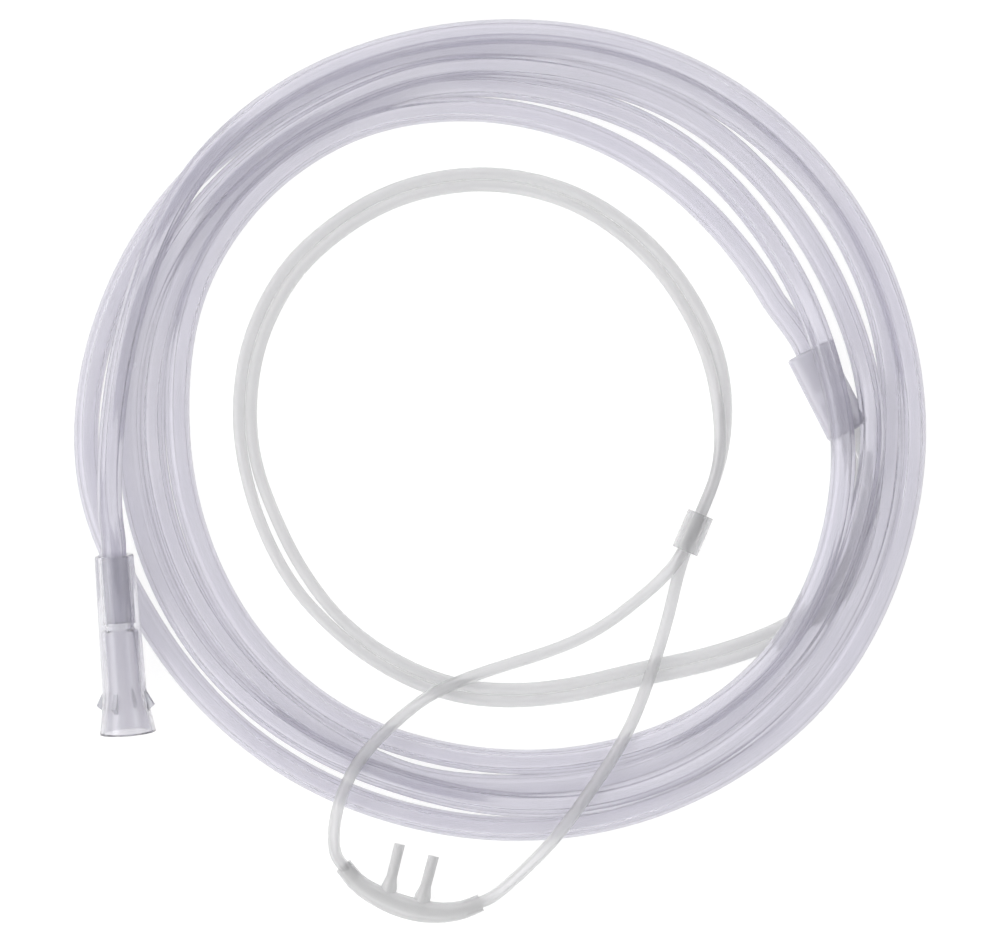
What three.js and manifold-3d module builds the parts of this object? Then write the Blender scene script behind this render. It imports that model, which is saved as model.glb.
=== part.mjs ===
// A nasal oxygen cannula lying flat on a level floor, in millimetres, with +Z up.
// Routes are first laid out round the middle of the supply coil, then the part is put on its origin.
import * as THREE from "three";
import { mergeVertices } from "three/addons/utils/BufferGeometryUtils.js";
import Module from "manifold-3d";

// Tubes
const supplyDiameter = 5.2;
const thinDiameter = 2.5;
const runningGap = 0.3;
const socketFit = 0.2;
const floorGap = 0.1;

// Supply coil: turns side by side on the floor, and one turn in the groove between the inner two
const coilOuterRadius = 87.1;
const turnsOnFloor = 3;
const turnPitch = 5.0;
const coilSegments = 72;
const turnArcStep = 45;

// End connector, a funnel whose axis runs from its tube end down to its mouth
const connectorLength = 37.3;
const connectorTubeEnd = new THREE.Vector3(-80.2, -26.0, 10.4);
const connectorHeading = -85.7;
const connectorEndDiameter = 8.1;
const connectorWaistDiameter = 9.2;
const connectorWaistAt = 29;
const connectorMouthDiameter = 11.9;
const connectorMouthBore = 9.8;
const connectorSocketDepth = 14.4;
const connectorThroatDiameter = 3.6;
const connectorThroatLength = 1.4;
const connectorBore = 6.2;
const connectorFlareAt = 27.5;
const finCount = 4;
const finTipRadius = 6.6;
const finThickness = 0.9;
const finStart = 27;
const finTipAt = 31.2;
const finEnd = 32.7;
const finTurn = 22;

// Y connector, a flat block with rounded edges
const yLength = 19.0;
const yWidth = 9.4;
const yHeight = 7.4;
const yCornerRadius = 2.2;
const yTubeEnd = new THREE.Vector2(64.0, 16.5);
const yHeading = -62.9;
const ySupplySocketDepth = 8.6;
const yThinSocketDepth = 7.6;
const yThinAxisHeight = 2.5;
const yPassageDiameter = 1.8;
const yThinRunOut = 2;

// Slider sleeve, an upright oval round the two thin tubes, one above the other
const sliderCentre = new THREE.Vector2(40.15, -21.35);
const sliderHeading = 66.8;
const sliderLength = 8.4;
const sliderSideWall = 1.3;
const sliderTopWall = 0.6;
const straightBelowSlider = 6;
const straightAboveSlider = 14;

// Nasal prong piece
const nasalRoute = [
  [-32.7, -90.8], [-29.7, -94.4], [-25.2, -97.3], [-20.6, -99.2],
  [-15.6, -100.4], [-11.7, -100.6], [-7.7, -100.0], [-4.0, -98.5],
];
const nasalEndDiameter = 3.7;
const nasalMiddleDiameter = 4.8;
const nasalLumen = 1.8;
const nasalSocketDepth = 3.6;
const prongTips = [[-20.9, -86.3], [-13.8, -88.8]];
const prongRoots = [[-23.6, -97.3], [-16.6, -99.2]];
const prongDiameter = 2.3;
const prongRootDiameter = 3.4;
const prongBore = 1.3;
const prongFlareLength = 4.2;

// Pair of thin tubes from the Y connector to the slider: x, y, and how far each lies from the middle
const touching = (thinDiameter + runningGap) / 2;
const apart = 1.7;
const pairRoute = [
  [75.0, -6.7, touching], [76.7, -13.5, touching], [76.2, -20.8, touching],
  [74.0, -28.1, touching], [69.2, -35.0, touching], [62.1, -40.8, touching],
  [52.5, -45.0, touching], [41.7, -48.3, touching], [27.5, -51.2, touching],
  [17.5, -53.8, touching], [7.7, -55.2, touching], [-2.1, -55.4, touching],
  [-11.5, -53.8, touching], [-20.4, -50.2, touching], [-28.3, -45.4, touching],
  [-35.2, -39.5, touching], [-41.0, -32.7, apart], [-45.6, -25.1, apart],
  [-49.1, -17.1, apart], [-51.9, -8.8, touching], [-53.3, 0.0, touching],
  [-53.1, 9.0, touching], [-51.5, 17.9, touching], [-47.9, 26.5, touching],
  [-42.9, 34.4, touching], [-36.2, 40.6, touching], [-28.5, 46.0, touching],
  [-20.2, 49.8, touching], [-11.2, 51.9, touching], [-2.1, 52.5, touching],
  [6.9, 51.2, touching], [15.5, 48.5, touching], [23.3, 44.0, touching],
  [30.2, 38.5, touching], [36.0, 31.9, touching], [40.6, 24.6, touching],
  [44.2, 16.9, touching],
];
const pairPointsUnderCoil = 8;
// The pair turns from side by side to one above the other over these points before the slider
const twistRoute = [[46.0, 9.0, 30], [46.6, 0.6, 60]];

// Branches below the slider, over the pair and the coil, to the nasal piece: x, y, height
const leftBranch = [
  [34.2, -30.9, 4.7], [28.1, -36.0, 2.2], [21.7, -41.0, 1.4], [14.2, -44.8, 1.4],
  [6.2, -47.5, 1.8], [-2.1, -50.0, 3.9], [-8.0, -52.0, 4.6], [-13.0, -54.2, 4.6],
  [-16.6, -56.2, 4.9], [-20.2, -59.3, 6.3], [-23.8, -62.6, 8.2], [-27.6, -66.2, 10.2],
  [-30.2, -69.6, 11.5], [-32.0, -73.2, 11.5], [-33.6, -77.2, 9.8], [-34.6, -81.2, 7.8],
  [-34.9, -84.8, 5.2],
];
const rightBranch = [
  [36.7, -31.8, 1.6], [35.5, -37.6, 1.7], [34.0, -42.9, 3.0], [32.5, -47.4, 4.5],
  [30.8, -52.6, 4.6], [28.9, -58.0, 5.3], [26.4, -63.3, 7.6], [23.9, -67.6, 10.0],
  [21.4, -71.3, 11.5], [18.6, -75.2, 11.5], [15.8, -79.2, 10.2], [13.2, -82.9, 8.6],
  [10.3, -86.5, 7.2], [6.9, -89.8, 4.9],
];
const nasalRunIn = 6;

// Supply tube inside the coil: angle round the coil and distance from its middle
const innerTurn = [
  [284, 68.6], [270, 68.5], [255, 68.2], [240, 68.4], [225, 68.3], [205, 66.9], [190, 66.8],
  [178, 67.2], [165, 68.2], [150, 68.5], [135, 68.5], [120, 68.5], [108, 68.3], [98, 67.4],
  [90, 66.2], [80, 65.0], [60, 63.1], [45, 62.3], [33, 62.6],
];
const innerTurnRunIn = 7;

// Supply tube from the end connector on to the coil, lying in the groove between the outer two turns
const leadInAngles = [191, 185, 179];
const leadInRunOut = 2.5;

// Fineness of round surfaces and of the tubes' steps, which are counted in tube diameters
const roundSides = 32;
const smallSides = 16;
const supplySides = 12;
const thinSides = 8;
const supplyStep = 2;
const leadInStep = 1;
const thinStep = 2.4;

// How far a cutting solid runs past the face that it cuts through
const cutBeyond = 1;

const supplyRadius = supplyDiameter / 2;
const thinRadius = thinDiameter / 2;
const thinPitch = thinDiameter + runningGap;

const wasm = await Module();
wasm.setup();

function solidOf(geometry) {
  const bare = geometry.clone();
  bare.deleteAttribute("normal");
  bare.deleteAttribute("uv");
  const merged = mergeVertices(bare, 1e-4);
  return new wasm.Manifold(new wasm.Mesh({
    numProp: 3,
    vertProperties: merged.attributes.position.array,
    triVerts: new Uint32Array(merged.index.array),
  }));
}

function geometryOf(solid) {
  const mesh = solid.getMesh();
  const geometry = new THREE.BufferGeometry();
  geometry.setAttribute("position", new THREE.BufferAttribute(mesh.vertProperties, 3));
  geometry.setIndex(new THREE.BufferAttribute(mesh.triVerts, 1));
  return geometry;
}

function cut(body, tools) {
  let solid = solidOf(body);
  for (const tool of tools) {
    solid = solid.subtract(solidOf(tool));
  }
  return geometryOf(solid);
}

function join(pieces) {
  let solid = solidOf(pieces[0]);
  for (const piece of pieces.slice(1)) {
    solid = solid.add(solidOf(piece));
  }
  return geometryOf(solid);
}

function radians(degrees) {
  return THREE.MathUtils.degToRad(degrees);
}

function headingVector(degrees) {
  return new THREE.Vector2(Math.cos(radians(degrees)), Math.sin(radians(degrees)));
}

function roundSection(radius, sides) {
  const shape = new THREE.Shape();
  for (let side = 0; side < sides; side += 1) {
    const angle = (2 * Math.PI * (side + 0.5)) / sides;
    shape[side === 0 ? "moveTo" : "lineTo"](radius * Math.cos(angle), radius * Math.sin(angle));
  }
  shape.closePath();
  return shape;
}

// A plain round tube solid along a smooth route, with a step every few diameters.
function sweptTube(points, diameter, sides, diametersPerStep) {
  const route = new THREE.CatmullRomCurve3(points, false, "centripetal");
  return new THREE.ExtrudeGeometry(roundSection(diameter / 2, sides), {
    steps: Math.round(route.getLength() / (diametersPerStep * diameter)),
    extrudePath: route,
  });
}

// A solid turned about Z: each outline point is a radius and a height, and it starts and ends on the axis.
function turned(outline, segments) {
  const points = outline.map(([radius, height]) => new THREE.Vector2(radius, height));
  return new THREE.LatheGeometry(points, segments).rotateX(Math.PI / 2);
}

function cylinderAlongZ(diameter, from, to, segments) {
  return turned([[0, from], [diameter / 2, from], [diameter / 2, to], [0, to]], segments);
}

// Lays a solid built along +Z so that its base is at a point and its axis follows a direction.
function layAlong(geometry, base, direction) {
  const turn = new THREE.Quaternion().setFromUnitVectors(new THREE.Vector3(0, 0, 1), direction);
  return geometry.applyQuaternion(turn).translate(base.x, base.y, base.z);
}

// The end connector's frame: its axis drops until the mouth's rim is just above the floor.
const mouthHeight = connectorMouthDiameter / 2 + floorGap;
const connectorDrop = Math.asin((connectorTubeEnd.z - mouthHeight) / connectorLength);
const connectorPlan = headingVector(connectorHeading).multiplyScalar(Math.cos(connectorDrop));
const connectorAxis = new THREE.Vector3(connectorPlan.x, connectorPlan.y, -Math.sin(connectorDrop));

function onConnectorAxis(distance) {
  return connectorTubeEnd.clone().addScaledVector(connectorAxis, distance);
}

// The Y connector's frame
const yAxis = headingVector(yHeading);
const yAcross = new THREE.Vector2(-yAxis.y, yAxis.x);

function onYAxis(distance, across, height) {
  const place = yTubeEnd.clone().addScaledVector(yAxis, distance).addScaledVector(yAcross, across);
  return new THREE.Vector3(place.x, place.y, height);
}

// The slider's frame
const sliderAxis = headingVector(sliderHeading);
const lowerTubeHeight = sliderTopWall + runningGap + thinRadius;
const upperTubeHeight = lowerTubeHeight + thinPitch;

function onSliderAxis(distance, height) {
  const place = sliderCentre.clone().addScaledVector(sliderAxis, distance);
  return new THREE.Vector3(place.x, place.y, height);
}

// The turns of the coil, counted from the inside; the upper one nests on two of them
const lastTurn = turnsOnFloor - 1;
const nestAngle = 60;
const upperTurnRadius = radiusOfTurn(0) + turnPitch / 2;
const upperTurnHeight = supplyRadius + turnPitch * Math.sin(radians(nestAngle));

function radiusOfTurn(turn) {
  return coilOuterRadius - supplyRadius - (lastTurn - turn) * turnPitch;
}

// The outline of the coil's section: arcs of each turn, cut off where it meets its neighbours.
function coilOutline() {
  const meeting = THREE.MathUtils.radToDeg(Math.acos(turnPitch / supplyDiameter));
  const outline = [];
  const arc = (radius, height, from, to) => {
    const steps = Math.max(1, Math.round((to - from) / turnArcStep));
    for (let step = 0; step <= steps; step += 1) {
      const angle = radians(from + ((to - from) * step) / steps);
      outline.push([radius + supplyRadius * Math.cos(angle), height + supplyRadius * Math.sin(angle)]);
    }
  };
  arc(radiusOfTurn(0), supplyRadius, nestAngle + meeting, 360 - meeting);
  for (let turn = 1; turn < lastTurn; turn += 1) {
    arc(radiusOfTurn(turn), supplyRadius, 180 + meeting, 360 - meeting);
  }
  arc(radiusOfTurn(lastTurn), supplyRadius, -180 + meeting, 180 - meeting);
  for (let turn = lastTurn - 1; turn > 1; turn -= 1) {
    arc(radiusOfTurn(turn), supplyRadius, meeting, 180 - meeting);
  }
  arc(radiusOfTurn(1), supplyRadius, meeting, 180 - nestAngle - meeting);
  arc(upperTurnRadius, upperTurnHeight, -nestAngle + meeting, 180 + nestAngle - meeting);
  outline.push(outline[0]);
  return outline;
}

// The space that the thin pair keeps free under the coil, as a slot cut up from the floor.
function pairSlot() {
  const slotHeight = yThinAxisHeight + thinRadius + runningGap;
  const halfWidth = thinPitch / 2 + thinRadius + runningGap;
  const middles = [onYAxis(yLength - cutBeyond, 0, 0)];
  for (const [x, y] of pairRoute.slice(0, pairPointsUnderCoil)) {
    middles.push(new THREE.Vector3(x, y, 0));
  }
  const route = new THREE.CatmullRomCurve3(middles, false, "centripetal");
  const stops = 3 * pairPointsUnderCoil;
  const near = [];
  const far = [];
  for (let stop = 0; stop <= stops; stop += 1) {
    const place = route.getPointAt(stop / stops);
    const ahead = route.getTangentAt(stop / stops);
    near.push(new THREE.Vector2(place.x - ahead.y * halfWidth, place.y + ahead.x * halfWidth));
    far.push(new THREE.Vector2(place.x + ahead.y * halfWidth, place.y - ahead.x * halfWidth));
  }
  const shape = new THREE.Shape([...near, ...far.reverse()]);
  return new THREE.ExtrudeGeometry(shape, { depth: slotHeight + cutBeyond, bevelEnabled: false })
    .translate(0, 0, -cutBeyond);
}

function yBlock(clearance) {
  const half = yWidth / 2 + clearance;
  const top = yHeight / 2 + clearance;
  const round = yCornerRadius + clearance;
  const shape = new THREE.Shape();
  shape.moveTo(half - round, -top);
  shape.absarc(half - round, -top + round, round, -Math.PI / 2, 0);
  shape.absarc(half - round, top - round, round, 0, Math.PI / 2);
  shape.absarc(-half + round, top - round, round, Math.PI / 2, Math.PI);
  shape.absarc(-half + round, -top + round, round, Math.PI, 1.5 * Math.PI);
  shape.closePath();
  const block = new THREE.ExtrudeGeometry(shape, {
    depth: yLength + 2 * clearance,
    bevelEnabled: false,
    curveSegments: smallSides / 4,
  });
  block.rotateX(Math.PI / 2).rotateZ(radians(yHeading + 90));
  const start = onYAxis(-clearance, 0, yHeight / 2);
  return block.translate(start.x, start.y, start.z);
}

function supplyCoil() {
  const ring = turned(coilOutline(), coilSegments);
  return cut(ring, [yBlock(runningGap), pairSlot()]);
}

function endConnector() {
  const body = turned([
    [0, 0],
    [connectorEndDiameter / 2, 0],
    [connectorWaistDiameter / 2, connectorWaistAt],
    [(connectorWaistDiameter + connectorMouthDiameter) / 4, (connectorWaistAt + connectorLength) / 2],
    [connectorMouthDiameter / 2, connectorLength],
    [0, connectorLength],
  ], roundSides);
  const pieces = [body];
  for (let fin = 0; fin < finCount; fin += 1) {
    const outline = new THREE.Shape([
      new THREE.Vector2(connectorBore / 2 + runningGap, finStart),
      new THREE.Vector2(connectorWaistDiameter / 2, finStart),
      new THREE.Vector2(finTipRadius, finTipAt),
      new THREE.Vector2(connectorWaistDiameter / 2, finEnd),
      new THREE.Vector2(connectorBore / 2 + runningGap, finEnd),
    ]);
    const blade = new THREE.ExtrudeGeometry(outline, { depth: finThickness, bevelEnabled: false });
    blade.translate(0, 0, -finThickness / 2).rotateX(Math.PI / 2);
    pieces.push(blade.rotateZ(radians(finTurn) + (2 * Math.PI * fin) / finCount));
  }
  const socketBore = supplyDiameter + 2 * socketFit;
  const throatEnd = connectorSocketDepth + connectorThroatLength;
  const mouthSlope = (connectorMouthBore - connectorBore) / 2 / (connectorLength - connectorFlareAt);
  const way = turned([
    [0, -cutBeyond],
    [socketBore / 2, -cutBeyond],
    [socketBore / 2, connectorSocketDepth],
    [connectorThroatDiameter / 2, connectorSocketDepth],
    [connectorThroatDiameter / 2, throatEnd],
    [connectorBore / 2, throatEnd + connectorThroatLength],
    [connectorBore / 2, connectorFlareAt],
    [connectorMouthBore / 2 + mouthSlope * cutBeyond, connectorLength + cutBeyond],
    [0, connectorLength + cutBeyond],
  ], roundSides);
  return layAlong(cut(join(pieces), [way]), connectorTubeEnd, connectorAxis);
}

function yConnector() {
  const axis = new THREE.Vector3(yAxis.x, yAxis.y, 0);
  const socket = cylinderAlongZ(supplyDiameter + 2 * socketFit, -cutBeyond, ySupplySocketDepth, roundSides);
  const tools = [layAlong(socket, onYAxis(0, 0, yHeight / 2), axis)];
  for (const side of [-1, 1]) {
    const across = (side * thinPitch) / 2;
    const start = yLength - yThinSocketDepth;
    const bore = cylinderAlongZ(thinDiameter + 2 * socketFit, start, yLength + cutBeyond, smallSides);
    tools.push(layAlong(bore, onYAxis(0, across, yThinAxisHeight), axis));
    const passageStart = ySupplySocketDepth - cutBeyond;
    const passage = cylinderAlongZ(yPassageDiameter, passageStart, start + cutBeyond, smallSides);
    tools.push(layAlong(passage, onYAxis(0, across, yThinAxisHeight), axis));
  }
  return cut(yBlock(0), tools);
}

function ovalSection(width, height) {
  const shape = new THREE.Shape();
  const straight = (height - width) / 2;
  shape.absarc(0, straight, width / 2, 0, Math.PI);
  shape.absarc(0, -straight, width / 2, Math.PI, 2 * Math.PI);
  shape.closePath();
  return shape;
}

function sliderSleeve() {
  const boreWidth = thinDiameter + 2 * runningGap;
  const boreHeight = thinDiameter + thinPitch + 2 * runningGap;
  const sleeve = ovalSection(boreWidth + 2 * sliderSideWall, boreHeight + 2 * sliderTopWall);
  sleeve.holes.push(ovalSection(boreWidth, boreHeight));
  const body = new THREE.ExtrudeGeometry(sleeve, {
    depth: sliderLength,
    bevelEnabled: false,
    curveSegments: smallSides,
  });
  body.rotateX(Math.PI / 2).rotateZ(radians(sliderHeading + 90));
  const start = onSliderAxis(-sliderLength / 2, boreHeight / 2 + sliderTopWall);
  return body.translate(start.x, start.y, start.z);
}

// Bends a solid built along +Z on to a level route, keeping its sections square to it.
function bendOn(geometry, route, length) {
  const position = geometry.attributes.position;
  const up = new THREE.Vector3(0, 0, 1);
  for (let index = 0; index < position.count; index += 1) {
    const along = THREE.MathUtils.clamp(position.getZ(index) / length, 0, 1);
    const ahead = route.getTangentAt(along);
    const beyond = position.getZ(index) - along * length;
    const sideways = new THREE.Vector3().crossVectors(up, ahead);
    const place = route.getPointAt(along).addScaledVector(ahead, beyond);
    place.addScaledVector(sideways, position.getX(index)).addScaledVector(up, position.getY(index));
    position.setXYZ(index, place.x, place.y, place.z);
  }
  return geometry;
}

const nasalHeight = nasalMiddleDiameter / 2;
const nasalCurve = new THREE.CatmullRomCurve3(
  nasalRoute.map(([x, y]) => new THREE.Vector3(x, y, nasalHeight)), false, "centripetal");

function nasalProngPiece() {
  const length = nasalCurve.getLength();
  const stations = smallSides;
  const skin = [[0, 0]];
  for (let station = 0; station <= stations; station += 1) {
    const swell = Math.sin((Math.PI * station) / stations) ** 2;
    const diameter = nasalEndDiameter + (nasalMiddleDiameter - nasalEndDiameter) * swell;
    skin.push([diameter / 2, (length * station) / stations]);
  }
  skin.push([0, length]);
  const hollow = [[0, -cutBeyond]];
  const socketRadius = thinRadius + socketFit;
  hollow.push([socketRadius, -cutBeyond], [socketRadius, 0], [socketRadius, nasalSocketDepth]);
  for (let station = 0; station <= stations / 2; station += 1) {
    const at = nasalSocketDepth + ((length - 2 * nasalSocketDepth) * station) / (stations / 2);
    hollow.push([nasalLumen / 2, at]);
  }
  hollow.push([socketRadius, length - nasalSocketDepth], [socketRadius, length]);
  hollow.push([socketRadius, length + cutBeyond], [0, length + cutBeyond]);
  const pieces = [bendOn(turned(skin, roundSides), nasalCurve, length)];
  const tools = [bendOn(turned(hollow, smallSides), nasalCurve, length)];
  prongTips.forEach(([tipX, tipY], prong) => {
    const root = new THREE.Vector3(...prongRoots[prong], nasalHeight);
    const reach = new THREE.Vector3(tipX, tipY, nasalHeight).sub(root);
    const prongLength = reach.length();
    const outer = turned([
      [0, 0],
      [prongRootDiameter / 2, 0],
      [prongRootDiameter / 2, prongFlareLength / 2],
      [prongDiameter / 2, prongFlareLength],
      [prongDiameter / 2, prongLength],
      [0, prongLength],
    ], smallSides);
    pieces.push(layAlong(outer, root, reach.clone().normalize()));
    const bore = cylinderAlongZ(prongBore, 0, prongLength + cutBeyond, smallSides);
    tools.push(layAlong(bore, root, reach.normalize()));
  });
  return cut(join(pieces), tools);
}

// A point of one tube beside the middle of the pair; the twist puts the left tube over the right one.
function besidePair(x, y, ahead, side, offset, twist) {
  const level = -side * offset * Math.cos(radians(twist));
  const raised = side * offset * Math.sin(radians(twist));
  const lift = ((lowerTubeHeight - thinRadius + thinPitch / 2) * twist) / 90;
  return new THREE.Vector3(x - ahead.y * level, y + ahead.x * level, thinRadius + floorGap + lift + raised);
}

// Both thin tubes run beside each other to the slider; the left one is on the inside and ends on top.
function pairPoints(side) {
  const points = [];
  const socketEnd = yLength - yThinSocketDepth + runningGap;
  for (const distance of [socketEnd, yLength - yThinSocketDepth / 2, yLength + yThinRunOut]) {
    points.push(onYAxis(distance, (-side * thinPitch) / 2, yThinAxisHeight));
  }
  const middles = [...pairRoute, ...twistRoute];
  middles.forEach(([x, y, value], index) => {
    const before = middles[index - 1] ?? onYAxis(yLength, 0, 0).toArray();
    const after = middles[index + 1] ?? onSliderAxis(straightAboveSlider, 0).toArray();
    const ahead = new THREE.Vector2(after[0] - before[0], after[1] - before[1]).normalize();
    const twist = index < pairRoute.length ? 0 : value;
    const offset = index < pairRoute.length ? value : touching;
    points.push(besidePair(x, y, ahead, side, offset, twist));
  });
  return points;
}

function loopTube(side, branch, nasalEnd) {
  const points = pairPoints(side);
  const height = side > 0 ? upperTubeHeight : lowerTubeHeight;
  for (const distance of [straightAboveSlider, straightAboveSlider / 2, 0, -straightBelowSlider]) {
    points.push(onSliderAxis(distance, height));
  }
  for (const [x, y, z] of branch) {
    points.push(new THREE.Vector3(x, y, z));
  }
  const end = nasalCurve.getPointAt(nasalEnd);
  const inward = nasalCurve.getTangentAt(nasalEnd).multiplyScalar(nasalEnd === 0 ? 1 : -1);
  for (const distance of [-nasalRunIn / 2, 0, nasalSocketDepth - runningGap]) {
    points.push(end.clone().addScaledVector(inward, distance));
  }
  return sweptTube(points, thinDiameter, thinSides, thinStep);
}

function supplyInnerTurn() {
  const points = innerTurn.map(([angle, radius]) => {
    const place = headingVector(angle).multiplyScalar(radius);
    return new THREE.Vector3(place.x, place.y, supplyRadius);
  });
  points.push(onYAxis(-innerTurnRunIn, 0, (supplyRadius + yHeight / 2) / 2));
  points.push(onYAxis(0, 0, yHeight / 2));
  points.push(onYAxis(ySupplySocketDepth - runningGap, 0, yHeight / 2));
  return sweptTube(points, supplyDiameter, supplySides, supplyStep);
}

function supplyLeadIn() {
  const reach = supplyDiameter + runningGap;
  const grooveRadius = upperTurnRadius + reach;
  const grooveHeight = supplyRadius + Math.sqrt(reach ** 2 - (radiusOfTurn(lastTurn) - grooveRadius) ** 2);
  const points = [onConnectorAxis(connectorSocketDepth - runningGap), onConnectorAxis(0)];
  points.push(onConnectorAxis(-leadInRunOut));
  for (const angle of leadInAngles) {
    const place = headingVector(angle).multiplyScalar(grooveRadius);
    points.push(new THREE.Vector3(place.x, place.y, grooveHeight));
  }
  return sweptTube(points, supplyDiameter, supplySides, leadInStep);
}

const clearVinyl = { color: 0xc9c6d4, roughness: 0.18, metalness: 0 };
const milkyVinyl = { color: 0xc4c5c4, roughness: 0.3, metalness: 0 };
const pieces = [
  ["supply_tube_coil", supplyCoil(), clearVinyl],
  ["supply_tube_inner_turn", supplyInnerTurn(), clearVinyl],
  ["supply_tube_lead_in", supplyLeadIn(), clearVinyl],
  ["loop_tube_left", loopTube(1, leftBranch, 0), milkyVinyl],
  ["loop_tube_right", loopTube(-1, rightBranch, 1), milkyVinyl],
  ["end_connector", endConnector(), clearVinyl],
  ["y_connector", yConnector(), clearVinyl],
  ["slider_sleeve", sliderSleeve(), milkyVinyl],
  ["nasal_prong_piece", nasalProngPiece(), milkyVinyl],
];

// The origin is under the middle of the moulded fittings, on the floor.
const fittings = new THREE.Box3();
for (const [name, geometry] of pieces) {
  if (!name.includes("tube")) {
    geometry.computeBoundingBox();
    fittings.union(geometry.boundingBox);
  }
}
const middle = fittings.getCenter(new THREE.Vector3());

const part = new THREE.Group();
for (const [name, geometry, finish] of pieces) {
  geometry.translate(-middle.x, -middle.y, 0);
  const mesh = new THREE.Mesh(geometry, new THREE.MeshStandardMaterial(finish));
  mesh.name = name;
  part.add(mesh);
}

export default part;
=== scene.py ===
"""A nasal oxygen cannula lying on a pale floor: a loose coil of clear supply tube, two thin tubes
and their clear soft fittings. Routes are in millimetres round the middle of the coil."""

import math

import bmesh
import bpy
import numpy as np
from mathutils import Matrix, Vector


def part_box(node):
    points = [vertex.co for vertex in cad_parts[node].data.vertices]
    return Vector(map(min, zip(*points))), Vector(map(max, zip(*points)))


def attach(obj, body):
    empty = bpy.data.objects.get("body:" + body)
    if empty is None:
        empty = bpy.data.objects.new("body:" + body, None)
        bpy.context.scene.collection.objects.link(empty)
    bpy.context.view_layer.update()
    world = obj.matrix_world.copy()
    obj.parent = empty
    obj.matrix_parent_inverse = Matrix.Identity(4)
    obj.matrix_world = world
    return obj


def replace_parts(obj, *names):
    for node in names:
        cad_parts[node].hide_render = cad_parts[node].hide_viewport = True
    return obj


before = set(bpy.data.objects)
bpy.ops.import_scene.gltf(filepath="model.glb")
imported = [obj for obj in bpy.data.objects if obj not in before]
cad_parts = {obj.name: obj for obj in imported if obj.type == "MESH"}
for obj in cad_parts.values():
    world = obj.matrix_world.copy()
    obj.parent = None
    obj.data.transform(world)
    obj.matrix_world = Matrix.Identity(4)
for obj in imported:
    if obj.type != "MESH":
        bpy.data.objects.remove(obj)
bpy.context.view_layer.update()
collection = bpy.context.scene.collection

# Sizes in millimetres, as the CAD has them
SUPPLY_DIAMETER = 5.2
SUPPLY_LUMEN = 3.0
THIN_DIAMETER = 2.5
THIN_LUMEN = 1.3
GAP = 0.3
FLOOR_GAP = 0.1
SLIDER_CENTRE = np.array([40.15, -21.35])
SLIDER_HEADING = 66.8
SLIDER_TOP_WALL = 0.6
Y_TUBE_END = np.array([64.0, 16.5])
Y_HEADING = -62.9
Y_LENGTH = 19.0
Y_WIDTH = 9.4
Y_HEIGHT = 7.4
Y_SUPPLY_SOCKET = 8.6
Y_THIN_SOCKET = 7.6
Y_THIN_HEIGHT = 2.5
CONNECTOR_START = np.array([-80.2, -26.0, 10.4])
CONNECTOR_HEADING = -85.7
CONNECTOR_LENGTH = 37.3
CONNECTOR_SOCKET = 14.4
MOUTH_HEIGHT = 6.05
NASAL_ROUTE = [
    (-32.7, -90.8), (-29.7, -94.4), (-25.2, -97.3), (-20.6, -99.2),
    (-15.6, -100.4), (-11.7, -100.6), (-7.7, -100.0), (-4.0, -98.5),
]
NASAL_HEIGHT = 2.4
NASAL_SOCKET = 3.6

# Where the middle of the coil is in the CAD frame
low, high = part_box("slider_sleeve")
SHIFT = np.array([(low.x + high.x) * 500, (low.y + high.y) * 500]) - SLIDER_CENTRE


def placed(points):
    """Millimetres round the coil's middle to metres in the CAD frame."""
    points = np.array(points, float)
    points[:, :2] += SHIFT
    return points / 1000


# Camera, straight above at the photograph's scale
CAMERA_HEIGHT = 2.0
VIEW_WIDTH = 0.20833
VIEW_CENTRE = (SHIFT[0] / 1000, (SHIFT[1] - 8.854) / 1000)

camera_data = bpy.data.cameras.new("top_camera")
camera_data.sensor_width = 36
camera_data.lens = 36 * CAMERA_HEIGHT / VIEW_WIDTH
camera_data.clip_end = 20
camera = bpy.data.objects.new("top_camera", camera_data)
camera.location = (*VIEW_CENTRE, CAMERA_HEIGHT + 0.004)
collection.objects.link(camera)
bpy.context.scene.camera = camera


# Smooth lines


def catmull_rom(points, spacing):
    """A centripetal Catmull-Rom line through the points, as points about that far apart."""
    points = np.array(points, float)
    padded = np.vstack([2 * points[0] - points[1], points, 2 * points[-1] - points[-2]])
    line = []
    for a, b, c, d in zip(padded, padded[1:], padded[2:], padded[3:]):
        t0 = 0.0
        t1 = t0 + np.linalg.norm(b - a) ** 0.5
        t2 = t1 + np.linalg.norm(c - b) ** 0.5
        t3 = t2 + np.linalg.norm(d - c) ** 0.5
        for t in np.linspace(t1, t2, 24, endpoint=False):
            ab = a + (b - a) * (t - t0) / (t1 - t0)
            bc = b + (c - b) * (t - t1) / (t2 - t1)
            cd = c + (d - c) * (t - t2) / (t3 - t2)
            abc = ab + (bc - ab) * (t - t0) / (t2 - t0)
            bcd = bc + (cd - bc) * (t - t1) / (t3 - t1)
            line.append(abc + (bcd - abc) * (t - t1) / (t2 - t1))
    line.append(points[-1])
    return resampled(np.array(line), spacing)


def resampled(line, spacing):
    along = lengths(line)
    count = max(2, round(along[-1] / spacing) + 1)
    stops = np.linspace(0, along[-1], count)
    return np.stack([np.interp(stops, along, line[:, k]) for k in range(line.shape[1])], axis=1)


def lengths(line):
    return np.concatenate([[0], np.cumsum(np.linalg.norm(np.diff(line, axis=0), axis=1))])


def smoothed(values, width):
    """Values blurred by a bell curve that wide, counted in samples, with the ends held."""
    reach = int(3 * width)
    bell = np.exp(-0.5 * (np.arange(-reach, reach + 1) / width) ** 2)
    padded = np.pad(values, reach, mode="edge")
    return np.convolve(padded, bell / bell.sum(), mode="valid")


def heading(degrees):
    return np.array([math.cos(math.radians(degrees)), math.sin(math.radians(degrees))])


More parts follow.
